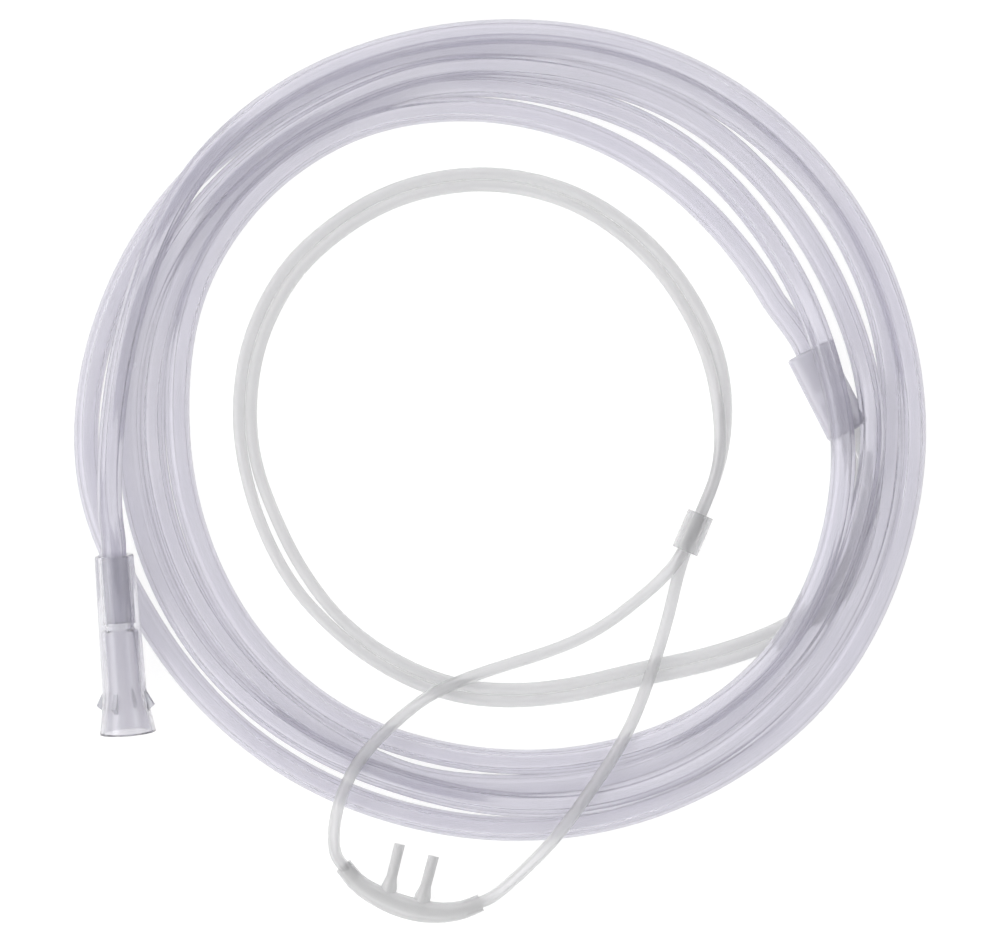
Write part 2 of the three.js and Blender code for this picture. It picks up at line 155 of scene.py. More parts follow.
# The thin pair from the Y connector to the slider, as in the CAD: x, y, half spread
TOUCHING = THIN_DIAMETER / 2 + 0.03
APART = 1.7
PAIR_ROUTE = [
    (75.0, -6.7, TOUCHING), (76.7, -13.5, TOUCHING), (76.2, -20.8, TOUCHING),
    (74.0, -28.1, TOUCHING), (69.2, -35.0, TOUCHING), (62.1, -40.8, TOUCHING),
    (52.5, -45.0, TOUCHING), (41.7, -48.3, TOUCHING), (27.5, -51.2, TOUCHING),
    (17.5, -53.8, TOUCHING), (7.7, -55.2, TOUCHING), (-2.1, -55.4, TOUCHING),
    (-11.5, -53.8, TOUCHING), (-20.4, -50.2, TOUCHING), (-28.3, -45.4, TOUCHING),
    (-35.2, -39.5, TOUCHING), (-41.0, -32.7, APART), (-45.6, -25.1, APART),
    (-49.1, -17.1, APART), (-51.9, -8.8, TOUCHING), (-53.3, 0.0, TOUCHING),
    (-53.1, 9.0, TOUCHING), (-51.5, 17.9, TOUCHING), (-47.9, 26.5, TOUCHING),
    (-42.9, 34.4, TOUCHING), (-36.2, 40.6, TOUCHING), (-28.5, 46.0, TOUCHING),
    (-20.2, 49.8, TOUCHING), (-11.2, 51.9, TOUCHING), (-2.1, 52.5, TOUCHING),
    (6.9, 51.2, TOUCHING), (15.5, 48.5, TOUCHING), (23.3, 44.0, TOUCHING),
    (30.2, 38.5, TOUCHING), (36.0, 31.9, TOUCHING), (40.6, 24.6, TOUCHING),
    (44.2, 16.9, TOUCHING),
]
TWIST_ROUTE = [(46.0, 9.0, 30), (46.6, 0.6, 60)]
LEFT_BRANCH = [
    (34.2, -30.9), (28.1, -36.0), (21.7, -41.0), (14.2, -44.8), (6.2, -47.5), (-2.1, -50.0),
    (-8.0, -52.0), (-13.0, -54.2), (-16.6, -56.2), (-20.2, -59.3), (-23.8, -62.6), (-27.6, -66.2),
    (-30.2, -69.6), (-32.0, -73.2), (-33.6, -77.2), (-34.6, -81.2), (-34.9, -84.8),
]
RIGHT_BRANCH = [
    (36.7, -31.8), (35.5, -37.6), (34.0, -42.9), (32.5, -47.4), (30.8, -52.6), (28.9, -58.0),
    (26.4, -63.3), (23.9, -67.6), (21.4, -71.3), (18.6, -75.2), (15.8, -79.2), (13.2, -82.9),
    (10.3, -86.5), (6.9, -89.8),
]

# Ribs in the supply tube's bore
RIBS = 5
RIB_DEPTH = 0.16
RIB_TWIST = 7.0

THIN_RADIUS = THIN_DIAMETER / 2
SUPPLY_RADIUS = SUPPLY_DIAMETER / 2
THIN_PITCH = THIN_DIAMETER + GAP
LOWER_IN_SLIDER = SLIDER_TOP_WALL + GAP + THIN_RADIUS
UPPER_IN_SLIDER = LOWER_IN_SLIDER + THIN_PITCH
y_axis = heading(Y_HEADING)
y_across = np.array([-y_axis[1], y_axis[0]])
slider_axis = heading(SLIDER_HEADING)
connector_drop = math.asin((CONNECTOR_START[2] - MOUTH_HEIGHT) / CONNECTOR_LENGTH)
connector_axis = np.array(
    [*(heading(CONNECTOR_HEADING) * math.cos(connector_drop)), -math.sin(connector_drop)]
)


def on_y_axis(distance, across, height):
    place = Y_TUBE_END + y_axis * distance + y_across * across
    return [*place, height]


def on_slider_axis(distance, height):
    return [*(SLIDER_CENTRE + slider_axis * distance), height]


def pair_line(side):
    """One thin tube from inside the Y connector to below the slider; the left one ends on top."""
    points = []
    socket_end = Y_LENGTH - Y_THIN_SOCKET + GAP
    for distance in (socket_end, Y_LENGTH - Y_THIN_SOCKET / 2, Y_LENGTH + 2):
        points.append(on_y_axis(distance, -side * THIN_PITCH / 2, Y_THIN_HEIGHT))
    middles = [(x, y, spread, 0) for x, y, spread in PAIR_ROUTE]
    middles += [(x, y, TOUCHING, twist) for x, y, twist in TWIST_ROUTE]
    places = [on_y_axis(Y_LENGTH, 0, 0), *middles, on_slider_axis(14, 0)]
    for before, (x, y, spread, twist), after in zip(places, middles, places[2:]):
        ahead = np.array(after[:2]) - np.array(before[:2])
        ahead /= np.linalg.norm(ahead)
        level = -side * spread * math.cos(math.radians(twist))
        raised = side * spread * math.sin(math.radians(twist))
        lift = (LOWER_IN_SLIDER - THIN_RADIUS + THIN_PITCH / 2) * twist / 90
        height = THIN_RADIUS + FLOOR_GAP + lift + raised
        points.append([x - ahead[1] * level, y + ahead[0] * level, height])
    inside = UPPER_IN_SLIDER if side > 0 else LOWER_IN_SLIDER
    for distance in (14, 7, 0, -6):
        points.append(on_slider_axis(distance, inside))
    return catmull_rom(points, 1.5)


# The supply tube's turns: angle round the coil, and distance from its middle. The line runs
# clockwise from the end connector, so each angle is below the one before it by less than a turn.
TURNS = [
    (197.7, 84.2), (190, 82.5), (184, 81.0), (175, 80.0), (167, 79.8), (155, 80.6), (150, 81.4),
    (140, 83.1), (120, 83.1), (110, 82.7), (100, 82.5), (90, 82.8), (80, 83.2), (60, 84.9),
    (35, 85.7), (15, 85.8), (0, 86.0), (-20, 86.4), (-38, 86.6), (-60, 85.0), (-75, 84.0),
    (-90, 83.0), (-105, 82.3), (-125, 82.6), (-140, 82.9), (-155, 83.3),
    (-170, 86.4), (-175, 86.6), (-190, 85.7), (-200, 84.7), (-210, 83.9), (-220, 82.9),
    (-230, 81.3), (-240, 80.0), (-250, 79.8), (-260, 79.8), (-270, 79.4), (-280, 80.2),
    (-300, 81.3), (-325, 82.8), (-345, 82.8), (-360, 81.7), (-380, 81.0), (-398, 81.8),
    (-420, 81.4), (-435, 79.8), (-450, 77.5), (-465, 75.7), (-485, 76.3), (-505, 77.3),
    (-515, 77.3),
    (-530, 77.1), (-555, 77.9), (-570, 77.5), (-585, 76.5), (-600, 75.6), (-610, 75.8),
    (-620, 76.3), (-630, 75.6), (-640, 75.6), (-660, 76.5), (-685, 75.6), (-695, 75.8),
    (-705, 76.5), (-712, 77.2), (-720, 77.5), (-730, 77.5), (-740, 77.1), (-758, 77.3),
    (-780, 76.7), (-795, 75.4), (-810, 74.2), (-825, 74.7), (-845, 72.3), (-865, 72.1),
    (-875, 72.2),
    (-890, 72.2), (-902, 72.5), (-910, 72.9), (-920, 73.3), (-930, 74.2), (-945, 74.6),
    (-960, 73.1), (-970, 72.9), (-980, 72.9), (-990, 71.9), (-1000, 70.8), (-1020, 70.4),
    (-1045, 68.8), (-1055, 69.0), (-1065, 69.0), (-1072, 69.7), (-1080, 71.3), (-1085, 71.6),
    (-1100, 73.0), (-1118, 74.3), (-1140, 72.9), (-1155, 70.6), (-1170, 68.9), (-1185, 68.2),
    (-1200, 68.8), (-1215, 68.3), (-1225, 67.7), (-1235, 66.9),
    (-1250, 66.8), (-1262, 67.2), (-1270, 68.1), (-1280, 69.6), (-1290, 70.4), (-1305, 70.7),
    (-1320, 70.2), (-1330, 69.4), (-1340, 67.9), (-1350, 66.4), (-1360, 65.0), (-1380, 63.1),
    (-1395, 62.3), (-1405, 62.3), (-1415, 63.1), (-1420, 64.0),
]
# The height from which each stretch is laid down, so that it lands over what it lies on
DROPS = [
    (197.7, 11), (170, 14), (10, 14), (-20, 3), (-163, 3), (-165, 3), (-370, 3), (-385, 9),
    (-500, 9), (-520, 3), (-560, 3), (-575, 9), (-640, 9), (-660, 3), (-700, 3), (-718, 6),
    (-740, 6), (-760, 5), (-890, 3), (-1040, 3), (-1060, 12), (-1120, 13), (-1160, 6),
    (-1180, 3), (-1268, 3), (-1280, 9), (-1330, 9), (-1345, 3), (-1425, 3),
]
DEGREES_PER_SAMPLE = 2
SAMPLES_PER_TURN = 360 // DEGREES_PER_SAMPLE
FIRST_ANGLE = 197.7
LAST_ANGLE = -1418
# Below this angle the line goes into the Y connector, and rests on nothing
INTO_Y_CONNECTOR = -1400
ROUNDS = 500
STIFFNESS = 0.8
SINK = 0.06
PULL_TO_TRACE = 0.1
PUSH_SIDEWAYS = 0.12
PINNED = 2


def under_coil(lines):
    """Points of the thin pair and of the Y connector that the supply tube rests on, with radii."""
    places = []
    for line in lines:
        for point in line[::2]:
            if math.hypot(point[0], point[1]) > 60:
                places.append([*point, THIN_RADIUS])
    for distance in np.arange(0.5, Y_LENGTH + 2, 1.0):
        for across in (-1, 0, 1):
            place = on_y_axis(min(distance, Y_LENGTH), across, Y_HEIGHT / 2)
            places.append([*place, Y_HEIGHT / 2])
    return np.array(places)


def laid_coil(obstacles):
    """Lays the turns down: each sample keeps its angle, sinks, and is pushed off what it meets."""
    angles = np.arange(FIRST_ANGLE, LAST_ANGLE, -DEGREES_PER_SAMPLE)
    knots = np.array(TURNS)
    drops = np.array(DROPS)
    target = smoothed(np.interp(-angles, -knots[:, 0], knots[:, 1]), 2.5)
    across = target.copy()
    height = np.interp(-angles, -drops[:, 0], drops[:, 1])
    around = np.stack([np.cos(np.radians(angles)), np.sin(np.radians(angles))], axis=1)
    start = CONNECTOR_START[2]
    last = Y_HEIGHT / 2
    free = angles > INTO_Y_CONNECTOR
    for _ in range(ROUNDS):
        resting = np.full(len(angles), SUPPLY_RADIUS)
        for values, kept in ((height, None), (across, target)):
            bend = np.zeros_like(values)
            offset = values if kept is None else values - kept
            bend[1:-1] = (offset[:-2] + offset[2:]) / 2 - offset[1:-1]
            values += STIFFNESS * bend
        height -= SINK
        across += PULL_TO_TRACE * (target - across)
        for turns in range(1, 5):
            step = turns * SAMPLES_PER_TURN
            if step >= len(angles):
                break
            push_apart(across, height, step)
        plan = around * across[:, None]
        for x, y, z, radius in obstacles:
            reach = radius + SUPPLY_RADIUS + 0.1
            beside = (plan[:, 0] - x) ** 2 + (plan[:, 1] - y) ** 2
            over = (beside < reach**2) & free
            resting[over] = np.maximum(resting[over], z + np.sqrt(reach**2 - beside[over]))
        height = np.maximum(height, resting)
        height[:PINNED] = start
        across[:PINNED] = target[:PINNED]
        height[-PINNED:] = last
        across[-PINNED:] = target[-PINNED:]
    across = smoothed(across, 1.2)
    height = smoothed(height, 1.5)
    height[:PINNED] = start
    height[-PINNED:] = last
    return np.column_stack([around * across[:, None], height])


def push_apart(across, height, step):
    """Moves each sample and the one a turn on apart until they are a diameter from each other."""
    beside = across[:-step] - across[step:]
    above = height[:-step] - height[step:]
    apart = np.hypot(beside, above)
    short = np.maximum(0, SUPPLY_DIAMETER - apart) / np.maximum(apart, 1e-6) / 2
    push_across = PUSH_SIDEWAYS * short * beside
    push_height = short * above
    across[:-step] += push_across
    across[step:] -= push_across
    height[:-step] += push_height
    height[step:] -= push_height


def supply_line(obstacles):
    """The whole supply tube, from the Y connector to the end connector."""
    coil = laid_coil(obstacles)
    stops = (CONNECTOR_SOCKET - GAP, CONNECTOR_SOCKET / 2, 2)
    lead = [CONNECTOR_START + connector_axis * s for s in stops]
    tail = [on_y_axis(s, 0, Y_HEIGHT / 2) for s in (-3, 2, Y_SUPPLY_SOCKET - GAP)]
    line = np.vstack([lead, coil[1:-1], tail])
    return catmull_rom(line, 1.9)[::-1]


def lying_over(points, obstacles, radius, first_height, last_height, hump):
    """A thin line laid over what is under it: parabolic humps over each support, then smoothed."""
    line = catmull_rom([[x, y, 0] for x, y in points], 1.5)
    along = lengths(line)
    support = np.full(len(line), radius + FLOOR_GAP)
    for index, (x, y, _) in enumerate(line):
        reach = obstacles[:, 3] + radius + 0.15
        beside = (obstacles[:, 0] - x) ** 2 + (obstacles[:, 1] - y) ** 2
        over = beside < reach**2
        if over.any():
            tops = obstacles[over, 2] + np.sqrt(reach[over] ** 2 - beside[over])
            support[index] = max(support[index], tops.max())
    fall = hump * (along[:, None] - along[None, :]) ** 2
    height = (support[None, :] - fall).max(axis=1)
    height = smoothed(np.maximum(height, support), 2)
    for distance, held in ((along, first_height), (along[-1] - along, last_height)):
        share = np.clip(1 - distance / 12, 0, 1) ** 2
        height = height * (1 - share) + held * share
    line[:, 2] = height
    return line


def thin_line(side, supply):
    """One thin tube from the Y connector through the slider to the nasal piece."""
    pair = pair_line(side)
    route = LEFT_BRANCH if side > 0 else RIGHT_BRANCH
    start = pair[-1]
    nasal = NASAL_ROUTE if side > 0 else NASAL_ROUTE[::-1]
    end = np.array(nasal[0])
    inward = np.array(nasal[1]) - end
    inward /= np.linalg.norm(inward)
    ends = [end - inward * 3, end, end + inward * (NASAL_SOCKET - GAP)]
    obstacles = [[*p, SUPPLY_RADIUS] for p in resampled(supply, 1.5)]
    for other in (-1, 1):
        obstacles += [[*p, THIN_RADIUS] for p in pair_line(other) if p[1] < -40]
    branch = lying_over(
        [start[:2], *route, *ends], np.array(obstacles), THIN_RADIUS, start[2], NASAL_HEIGHT, 0.014
    )
    whole = resampled(np.vstack([pair[:-1], branch]), 1.5)
    soft = np.stack([smoothed(whole[:, k], 3) for k in range(3)], axis=1)
    place = np.arange(len(whole))
    from_end = np.minimum(place, place[::-1])
    share = np.clip(from_end / 10, 0, 1)[:, None]
    return whole * (1 - share) + soft * share


def mesh_from(name, bm):
    mesh = bpy.data.meshes.new(name)
    bm.to_mesh(mesh)
    bm.free()
    return mesh


def added(name, mesh):
    piece = bpy.data.objects.new(name, mesh)
    collection.objects.link(piece)
    return piece


def tube(name, line, diameter, bore, sides, ribs, finish, lining):
    """A hollow tube along a line of millimetre points: outer wall, bore, and a ring at each end.
    Ribs against kinking turn slowly along the bore, and the bore has a lining of its own."""
    points = placed(line)
    ahead = np.gradient(points, axis=0)
    ahead /= np.linalg.norm(ahead, axis=1)[:, None]
    across = np.cross(ahead, [0, 0, 1.0])
    across /= np.linalg.norm(across, axis=1)[:, None]
    up = np.cross(across, ahead)
    along = lengths(points)
    bm = bmesh.new()
    uv = bm.loops.layers.uv.new("along")
    ends = []
    for inside in (False, True):
        count = sides * 2 // 3 if inside else sides
        turn = np.arange(count) * 2 * math.pi / count
        rings = []
        for stop in range(len(points)):
            radius = np.full(count, (bore if inside else diameter) / 2000)
            angle = turn
            if inside and ribs:
                radius = radius * (1 + RIB_DEPTH * np.cos(ribs * turn))
                angle = turn + along[stop] * RIB_TWIST
            places = points[stop] + radius[:, None] * (
                np.cos(angle)[:, None] * across[stop] + np.sin(angle)[:, None] * up[stop]
            )
            rings.append([bm.verts.new(place) for place in places])
        for stop in range(len(rings) - 1):
            for k in range(count):
                n = (k + 1) % count
                here, after = rings[stop], rings[stop + 1]
                corners = [(here[k], k, stop), (after[k], k, stop + 1),
                           (after[n], k + 1, stop + 1), (here[n], k + 1, stop)]
                if inside:
                    corners.reverse()
                face = bm.faces.new([corner[0] for corner in corners])
                face.smooth = True
                face.material_index = int(inside)
                for loop, (_, step, place) in zip(face.loops, corners):
                    loop[uv].uv = (step / count, along[place] * 10)
        ends.append((rings[0], rings[-1]))
    for outer, inner in zip(*ends):
        edges = [
            bm.edges.get((ring[k], ring[(k + 1) % len(ring)]))
            for ring in (outer, inner)
            for k in range(len(ring))
        ]
        bmesh.ops.bridge_loops(bm, edges=edges)
    bmesh.ops.recalc_face_normals(bm, faces=bm.faces)
    mesh = mesh_from(name, bm)
    mesh.materials.append(finish)
    mesh.materials.append(lining)
    return added(name, mesh), points


# Materials: weak refraction under a clear coat, with a matt share that makes the vinyl milky
COAT_IOR = 1.5
COAT_ROUGHNESS = 0.08
CLOUD_SCALE = 60
STREAK_SCALE = (14, 3, 1)
GRAIN_SCALE = (900, 900, 900)
BUMP_STRENGTH = 0.02
BUMP_DISTANCE = 0.0001


def vinyl(name, tint, shade, haze, roughness, transmission, ior, streaks=False):
    """Clear or milky vinyl: cloudy tint, uneven gloss, and a fine grain or streaks along a tube."""
    material = bpy.data.materials.new(name)
    material.use_nodes = True
    tree = material.node_tree
    nodes = tree.nodes
    links = tree.links
    shader = nodes["Principled BSDF"]
    shader.inputs["Transmission Weight"].default_value = transmission
    shader.inputs["IOR"].default_value = ior
    shader.inputs["Coat Weight"].default_value = 1.0
    shader.inputs["Coat IOR"].default_value = COAT_IOR
    shader.inputs["Coat Roughness"].default_value = COAT_ROUGHNESS
    place = nodes.new("ShaderNodeTexCoord")
    cloud = nodes.new("ShaderNodeTexNoise")
    cloud.inputs["Scale"].default_value = CLOUD_SCALE
    cloud.inputs["Detail"].default_value = 3
    links.new(place.outputs["Object"], cloud.inputs["Vector"])
    tints = nodes.new("ShaderNodeMix")
    tints.data_type = "RGBA"
    tints.inputs["A"].default_value = (*tint, 1)
    tints.inputs["B"].default_value = (*shade, 1)
    links.new(cloud.outputs["Fac"], tints.inputs["Factor"])
    links.new(tints.outputs["Result"], shader.inputs["Base Color"])
    gloss = nodes.new("ShaderNodeMapRange")
    gloss.inputs["To Min"].default_value = roughness
    gloss.inputs["To Max"].default_value = roughness + haze
    links.new(cloud.outputs["Fac"], gloss.inputs["Value"])
    links.new(gloss.outputs["Result"], shader.inputs["Roughness"])
    drawn = nodes.new("ShaderNodeTexNoise")
    drawn.inputs["Scale"].default_value = 1
    drawn.inputs["Detail"].default_value = 2
    stretch = nodes.new("ShaderNodeMapping")
    if streaks:
        stretch.inputs["Scale"].default_value = STREAK_SCALE
        links.new(place.outputs["UV"], stretch.inputs["Vector"])
    else:
        stretch.inputs["Scale"].default_value = GRAIN_SCALE
        links.new(place.outputs["Object"], stretch.inputs["Vector"])
    links.new(stretch.outputs["Vector"], drawn.inputs["Vector"])
    bump = nodes.new("ShaderNodeBump")
    bump.inputs["Strength"].default_value = BUMP_STRENGTH
    bump.inputs["Distance"].default_value = BUMP_DISTANCE
    links.new(drawn.outputs["Fac"], bump.inputs["Height"])
    links.new(bump.outputs["Normal"], shader.inputs["Normal"])
    return material


supply_vinyl = vinyl(
    "supply_vinyl", tint=(0.825, 0.81, 0.9), shade=(0.89, 0.878, 0.94),
    haze=0.1, roughness=0.2, transmission=0.74, ior=1.14, streaks=True,
)
loop_vinyl = vinyl(
    "loop_vinyl", tint=(0.83, 0.83, 0.835), shade=(0.89, 0.89, 0.895),
    haze=0.1, roughness=0.3, transmission=0.72, ior=1.1, streaks=True,
)
bore_vinyl = vinyl(
    "bore_vinyl", tint=(0.96, 0.955, 0.975), shade=(0.99, 0.988, 0.995),
    haze=0.1, roughness=0.2, transmission=0.96, ior=1.14, streaks=True,
)
socket_vinyl = vinyl(
    "socket_vinyl", tint=(0.84, 0.835, 0.88), shade=(0.9, 0.895, 0.93),
    haze=0.08, roughness=0.1, transmission=0.88, ior=1.3,
)
funnel_vinyl = vinyl(
    "funnel_vinyl", tint=(0.8, 0.79, 0.85), shade=(0.87, 0.86, 0.9),
    haze=0.08, roughness=0.1, transmission=0.84, ior=1.3,
)
fin_vinyl = vinyl(
    "fin_vinyl", tint=(0.62, 0.62, 0.68), shade=(0.7, 0.7, 0.75),
    haze=0.08, roughness=0.2, transmission=0.5, ior=1.2,
)
block_vinyl = vinyl(
    "block_vinyl", tint=(0.83, 0.815, 0.9), shade=(0.88, 0.87, 0.935),
    haze=0.1, roughness=0.2, transmission=0.4, ior=1.1,
)
sleeve_vinyl = vinyl(
    "sleeve_vinyl", tint=(0.84, 0.84, 0.85), shade=(0.9, 0.9, 0.91),
    haze=0.1, roughness=0.1, transmission=0.72, ior=1.25,
)
nasal_vinyl = vinyl(
    "nasal_vinyl", tint=(0.85, 0.85, 0.855), shade=(0.9, 0.9, 0.905),
    haze=0.1, roughness=0.25, transmission=0.45, ior=1.15,
)

# Cords
pairs = {side: pair_line(side) for side in (1, -1)}
supply = supply_line(under_coil([p[:40] for p in pairs.values()]))
supply_tube, supply_path = tube(
    "supply_tube", supply, SUPPLY_DIAMETER, SUPPLY_LUMEN, 48, RIBS, supply_vinyl, bore_vinyl
)
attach(supply_tube, "cannula")
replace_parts(supply_tube, "supply_tube_coil", "supply_tube_inner_turn", "supply_tube_lead_in")

thin_pieces = {}
for side, name in ((1, "left"), (-1, "right")):
    line = thin_line(side, supply)
    piece, path = tube(
        f"{name}_loop_tube", line, THIN_DIAMETER, THIN_LUMEN, 36, 0, loop_vinyl, bore_vinyl
    )
    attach(piece, "cannula")
    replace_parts(piece, f"loop_tube_{name}")
    thin_pieces[name] = (piece, path)

# Fittings


def framed(points, base, axis):
    """Points built along +Z round the origin, moved on to a base point and an axis."""
    across = np.cross([0, 0, 1.0], axis)
    across /= np.linalg.norm(across)
    up = np.cross(axis, across)
    points = np.array(points)
    turned = points[:, :1] * across + points[:, 1:2] * up + points[:, 2:] * axis
    return placed(np.array(base) + turned)


def finished(name, bm, finish, crease=35):
    """A fitting from its mesh: smooth where it bends softly and crisp at its edges."""
    bmesh.ops.remove_doubles(bm, verts=bm.verts, dist=1e-7)
    bmesh.ops.recalc_face_normals(bm, faces=bm.faces)
    for face in bm.faces:
        face.smooth = True
    mesh = mesh_from(name, bm)
    mesh.set_sharp_from_angle(angle=math.radians(crease))
    mesh.materials.append(finish)
    piece = added(name, mesh)
    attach(piece, "cannula")
    return piece


FIN_COUNT = 4
FIN_TURN = 22
FIN_HALF_THICKNESS = 0.45
FIN_RADIUS = 5.2
FIN_EDGE = 0.012
GAP_STEPS = 18
PER_FIN = 5 + GAP_STEPS - 1
FIN_OUTLINE = ([28.2, 31.6, 32.7], [4.6, 6.5, 5.0])
CONNECTOR_OUTLINE = [
    (3.75, 0.0), (4.0, 0.08), (4.08, 0.35), (4.15, 3.0), (4.35, 12.0), (4.6, 24.0), (4.65, 29.0),
    (4.95, 31.5), (5.35, 34.0), (5.75, 36.3), (5.92, 37.1), (5.9, 37.3),
]
CONNECTOR_BORE = [
    (5.2, 37.3), (4.9, 37.1), (4.3, 34.0), (3.7, 31.0), (3.25, 28.5), (3.1, 26.0), (3.05, 16.6),
    (2.9, 15.9), (2.35, 15.4), (2.3, 14.9), (2.35, 14.5), (2.66, 14.4), (2.66, 0.4), (2.9, 0.0),
]


def end_connector():
    """The funnel: a turned wall, whose outside swells into four small fins near the mouth. It has
    three materials, for the socket, the funnel below it and the fins."""
    outside = dense(CONNECTOR_OUTLINE, 0.45)
    stations = outside + dense(CONNECTOR_BORE, 0.6)
    angles = []
    for fin in range(FIN_COUNT):
        middle = math.radians(FIN_TURN) + 2 * math.pi * fin / FIN_COUNT
        half = FIN_HALF_THICKNESS / FIN_RADIUS
        angles += [middle - half, middle - half + FIN_EDGE, middle]
        angles += [middle + half - FIN_EDGE, middle + half]
        gap = 2 * math.pi / FIN_COUNT - 2 * half
        angles += [middle + half + gap * step / GAP_STEPS for step in range(1, GAP_STEPS)]
    bm = bmesh.new()
    rings = []
    for index, (radius, place) in enumerate(stations):
        tips = np.interp(place, *FIN_OUTLINE, left=0, right=0) if index < len(outside) else 0
        points = []
        for step, angle in enumerate(angles):
            reach = max(radius, tips) if step % PER_FIN in (1, 2, 3) else radius
            points.append((reach * math.cos(angle), reach * math.sin(angle), place))
        rings.append([bm.verts.new(p) for p in framed(points, CONNECTOR_START, connector_axis)])
    fin_from, fin_to = FIN_OUTLINE[0][0], FIN_OUTLINE[0][-1]
    for index, (here, after) in enumerate(zip(rings, rings[1:] + rings[:1])):
        place = stations[index][1]
        below_socket = place > CONNECTOR_SOCKET + 1
        beside_fin = index < len(outside) and fin_from < place < fin_to
        for k in range(len(angles)):
            n = (k + 1) % len(angles)
            face = bm.faces.new([here[k], after[k], after[n], here[n]])
            face.material_index = 2 if beside_fin and k % PER_FIN < 4 else int(below_socket)
    piece = finished("funnel_connector", bm, socket_vinyl, 30)
    piece.data.materials.append(funnel_vinyl)
    piece.data.materials.append(fin_vinyl)
    return piece


def dense(outline, step):
    """The outline's corners, with points put between those that are far apart."""
    result = []
    for (r0, z0), (r1, z1) in zip(outline, outline[1:]):
        count = max(1, round(math.hypot(r1 - r0, z1 - z0) / step))
        result += [(r0 + (r1 - r0) * k / count, z0 + (z1 - z0) * k / count) for k in range(count)]
    return result + [outline[-1]]


SOCKET_PLAY = 0.04
Y_SQUARENESS = 4.2
# Places along the Y connector, and how far its section is drawn in there
Y_SECTIONS = [
    (0, 0.55), (0.12, 0.25), (0.45, 0.03), (0.9, 0), (6, 0), (12, 0),
    (Y_LENGTH - 0.9, 0), (Y_LENGTH - 0.45, 0.03), (Y_LENGTH - 0.12, 0.25), (Y_LENGTH, 0.55),
]


def rod(bm, radius, start, end, across, height):
    """A round rod along the Y connector's axis, for cutting a socket."""
    count = 40
    rings = []
    for place in (start, end):
        ring = []
        for k in range(count):
            angle = 2 * math.pi * k / count
            x, y, z = on_y_axis(place, across + radius * math.cos(angle), height)
            ring.append(bm.verts.new(placed([(x, y, z + radius * math.sin(angle))])[0]))
        rings.append(ring)
    for k in range(count):
        n = (k + 1) % count
        bm.faces.new([rings[0][k], rings[0][n], rings[1][n], rings[1][k]])
    bm.faces.new(rings[0][::-1])
    bm.faces.new(rings[1])


def y_connector():
    """The Y piece: a block with softly rounded edges, cut by its sockets."""
    bm = bmesh.new()
    rings = []
    count = 64
    for place, inset in Y_SECTIONS:
        ring = []
        for k in range(count):
            angle = 2 * math.pi * (k + 0.5) / count
            c, s = math.cos(angle), math.sin(angle)
            bulge = abs(c) ** Y_SQUARENESS + abs(s) ** Y_SQUARENESS
            size = bulge ** (-1 / Y_SQUARENESS)
            across = (Y_WIDTH / 2 - inset) * size * c
            above = (Y_HEIGHT / 2 - inset) * size * s
            ring.append(bm.verts.new(placed([on_y_axis(place, across, Y_HEIGHT / 2 + above)])[0]))
        rings.append(ring)
    for here, after in zip(rings, rings[1:]):
        for k in range(count):
            n = (k + 1) % count
            bm.faces.new([here[k], here[n], after[n], after[k]])
    bm.faces.new(rings[0][::-1])
    bm.faces.new(rings[-1])
    bmesh.ops.recalc_face_normals(bm, faces=bm.faces)
    body = added("block", mesh_from("block", bm))
    tools = bmesh.new()
    rod(tools, SUPPLY_RADIUS + SOCKET_PLAY, -1, Y_SUPPLY_SOCKET, 0, Y_HEIGHT / 2)
    start = Y_LENGTH - Y_THIN_SOCKET
    for across in (-THIN_PITCH / 2, THIN_PITCH / 2):
        rod(tools, THIN_RADIUS + SOCKET_PLAY, start, Y_LENGTH + 1, across, Y_THIN_HEIGHT)
    bmesh.ops.recalc_face_normals(tools, faces=tools.faces)
    cutter = added("sockets", mesh_from("sockets", tools))
    boolean = body.modifiers.new("sockets", "BOOLEAN")
    boolean.operation = "DIFFERENCE"
    boolean.solver = "EXACT"
    boolean.object = cutter
    bpy.context.view_layer.update()
    evaluated = body.evaluated_get(bpy.context.evaluated_depsgraph_get())
    cut = bmesh.new()
    cut.from_mesh(evaluated.to_mesh())
    evaluated.to_mesh_clear()
    for one in (body, cutter):
        bpy.data.objects.remove(one)
    return finished("y_piece", cut, block_vinyl)


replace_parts(end_connector(), "end_connector")
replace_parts(y_connector(), "y_connector")
for name, finish in (("slider_sleeve", sleeve_vinyl), ("nasal_prong_piece", nasal_vinyl)):
    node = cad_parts[name]
    node.data.materials.clear()
    node.data.materials.append(finish)

# Where the supply tube and the thin tubes end in the Y connector, worked out and not kept
tuple(placed([on_y_axis(0, 0, Y_HEIGHT / 2)])[0])
for name, side in (("left", 1), ("right", -1)):
    piece, path = thin_pieces[name]
    tuple(placed([on_y_axis(Y_LENGTH, -side * THIN_PITCH / 2, Y_THIN_HEIGHT)])[0])

# Floor: white paper that glows, for the photograph's white gaps, and lights matt surfaces less
FLOOR_GLOW = 0.86
FLOOR_GLOW_ON_MATT = 0.5
floor_mesh = bpy.data.meshes.new("floor")
floor_mesh.from_pydata([(-3, -3, 0), (3, -3, 0), (3, 3, 0), (-3, 3, 0)], [], [(0, 1, 2, 3)])
floor = added("floor", floor_mesh)
floor.location.z = -0.00005
paper = bpy.data.materials.new("paper")
paper.use_nodes = True
paper.cycles.emission_sampling = "NONE"
paper_tree = paper.node_tree
sheet = paper_tree.nodes["Principled BSDF"]
sheet.inputs["Base Color"].default_value = (0.3, 0.3, 0.3, 1)
sheet.inputs["Roughness"].default_value = 0.9
sheet.inputs["Specular IOR Level"].default_value = 0
sheet.inputs["Emission Color"].default_value = (1, 1, 1, 1)
paper_ray = paper_tree.nodes.new("ShaderNodeLightPath")
glow = paper_tree.nodes.new("ShaderNodeMapRange")
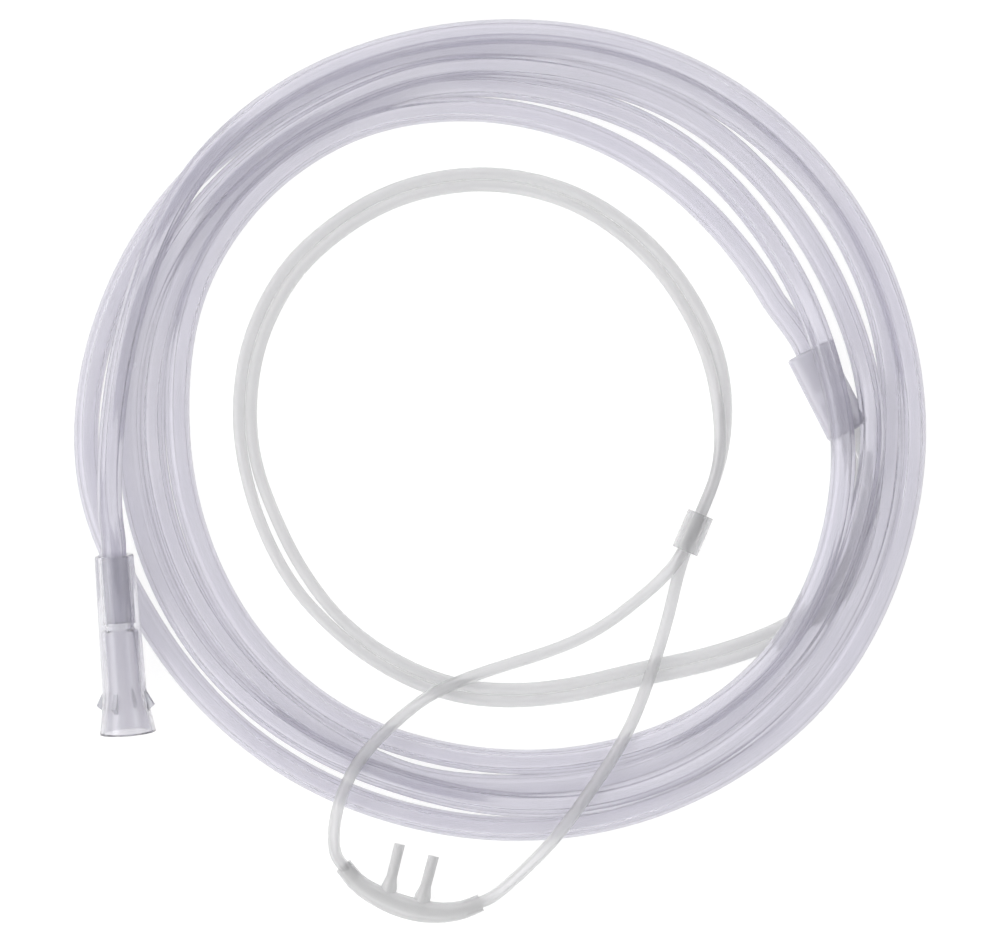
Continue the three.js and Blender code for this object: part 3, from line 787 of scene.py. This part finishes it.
glow.inputs["To Min"].default_value = FLOOR_GLOW
glow.inputs["To Max"].default_value = FLOOR_GLOW_ON_MATT
paper_tree.links.new(paper_ray.outputs["Is Diffuse Ray"], glow.inputs["Value"])
paper_tree.links.new(glow.outputs["Result"], sheet.inputs["Emission Strength"])
floor_mesh.materials.append(paper)

# Light: a soft studio tent, darker straight above and near the floor, and brighter from the
# left. The camera sees an even light grey in its place.
SKY_BANDS = [(0.0, 0.25), (0.35, 0.3), (0.5, 1.9), (0.72, 1.9), (0.86, 0.35), (1.0, 0.3)]
GAIN_LEFT = 1.3
GAIN_RIGHT = 0.45
GAIN_REACH = 0.8
SKY_TO_CAMERA = (0.96, 0.96, 0.96, 1)
world = bpy.data.worlds.new("studio")
world.cycles.sampling_method = "NONE"
bpy.context.scene.world = world
world.use_nodes = True
sky = world.node_tree
background = sky.nodes["Background"]
background.inputs["Strength"].default_value = 1.0
direction = sky.nodes.new("ShaderNodeTexCoord")
split = sky.nodes.new("ShaderNodeSeparateXYZ")
ramp = sky.nodes.new("ShaderNodeValToRGB")
sky.links.new(direction.outputs["Generated"], split.inputs["Vector"])
sky.links.new(split.outputs["Z"], ramp.inputs["Fac"])
while len(ramp.color_ramp.elements) < len(SKY_BANDS):
    ramp.color_ramp.elements.new(0.5)
for element, (place, value) in zip(ramp.color_ramp.elements, SKY_BANDS):
    element.position = place
    element.color = (value, value, value, 1)
seen = sky.nodes.new("ShaderNodeMix")
seen.data_type = "RGBA"
ray = sky.nodes.new("ShaderNodeLightPath")
gain = sky.nodes.new("ShaderNodeVectorMath")
gain.operation = "SCALE"
from_left = sky.nodes.new("ShaderNodeMapRange")
from_left.inputs["From Min"].default_value = -GAIN_REACH
from_left.inputs["From Max"].default_value = GAIN_REACH
from_left.inputs["To Min"].default_value = GAIN_LEFT
from_left.inputs["To Max"].default_value = GAIN_RIGHT
sky.links.new(split.outputs["X"], from_left.inputs["Value"])
sky.links.new(from_left.outputs["Result"], gain.inputs["Scale"])
sky.links.new(ramp.outputs["Color"], gain.inputs[0])
sky.links.new(ray.outputs["Is Camera Ray"], seen.inputs["Factor"])
sky.links.new(gain.outputs["Vector"], seen.inputs["A"])
seen.inputs["B"].default_value = SKY_TO_CAMERA
sky.links.new(seen.outputs["Result"], background.inputs["Color"])

# How it is rendered
scene = bpy.context.scene
scene.view_settings.view_transform = "Standard"
scene.cycles.max_bounces = 28
scene.cycles.transmission_bounces = 28
scene.cycles.diffuse_bounces = 3
scene.cycles.use_denoising = True
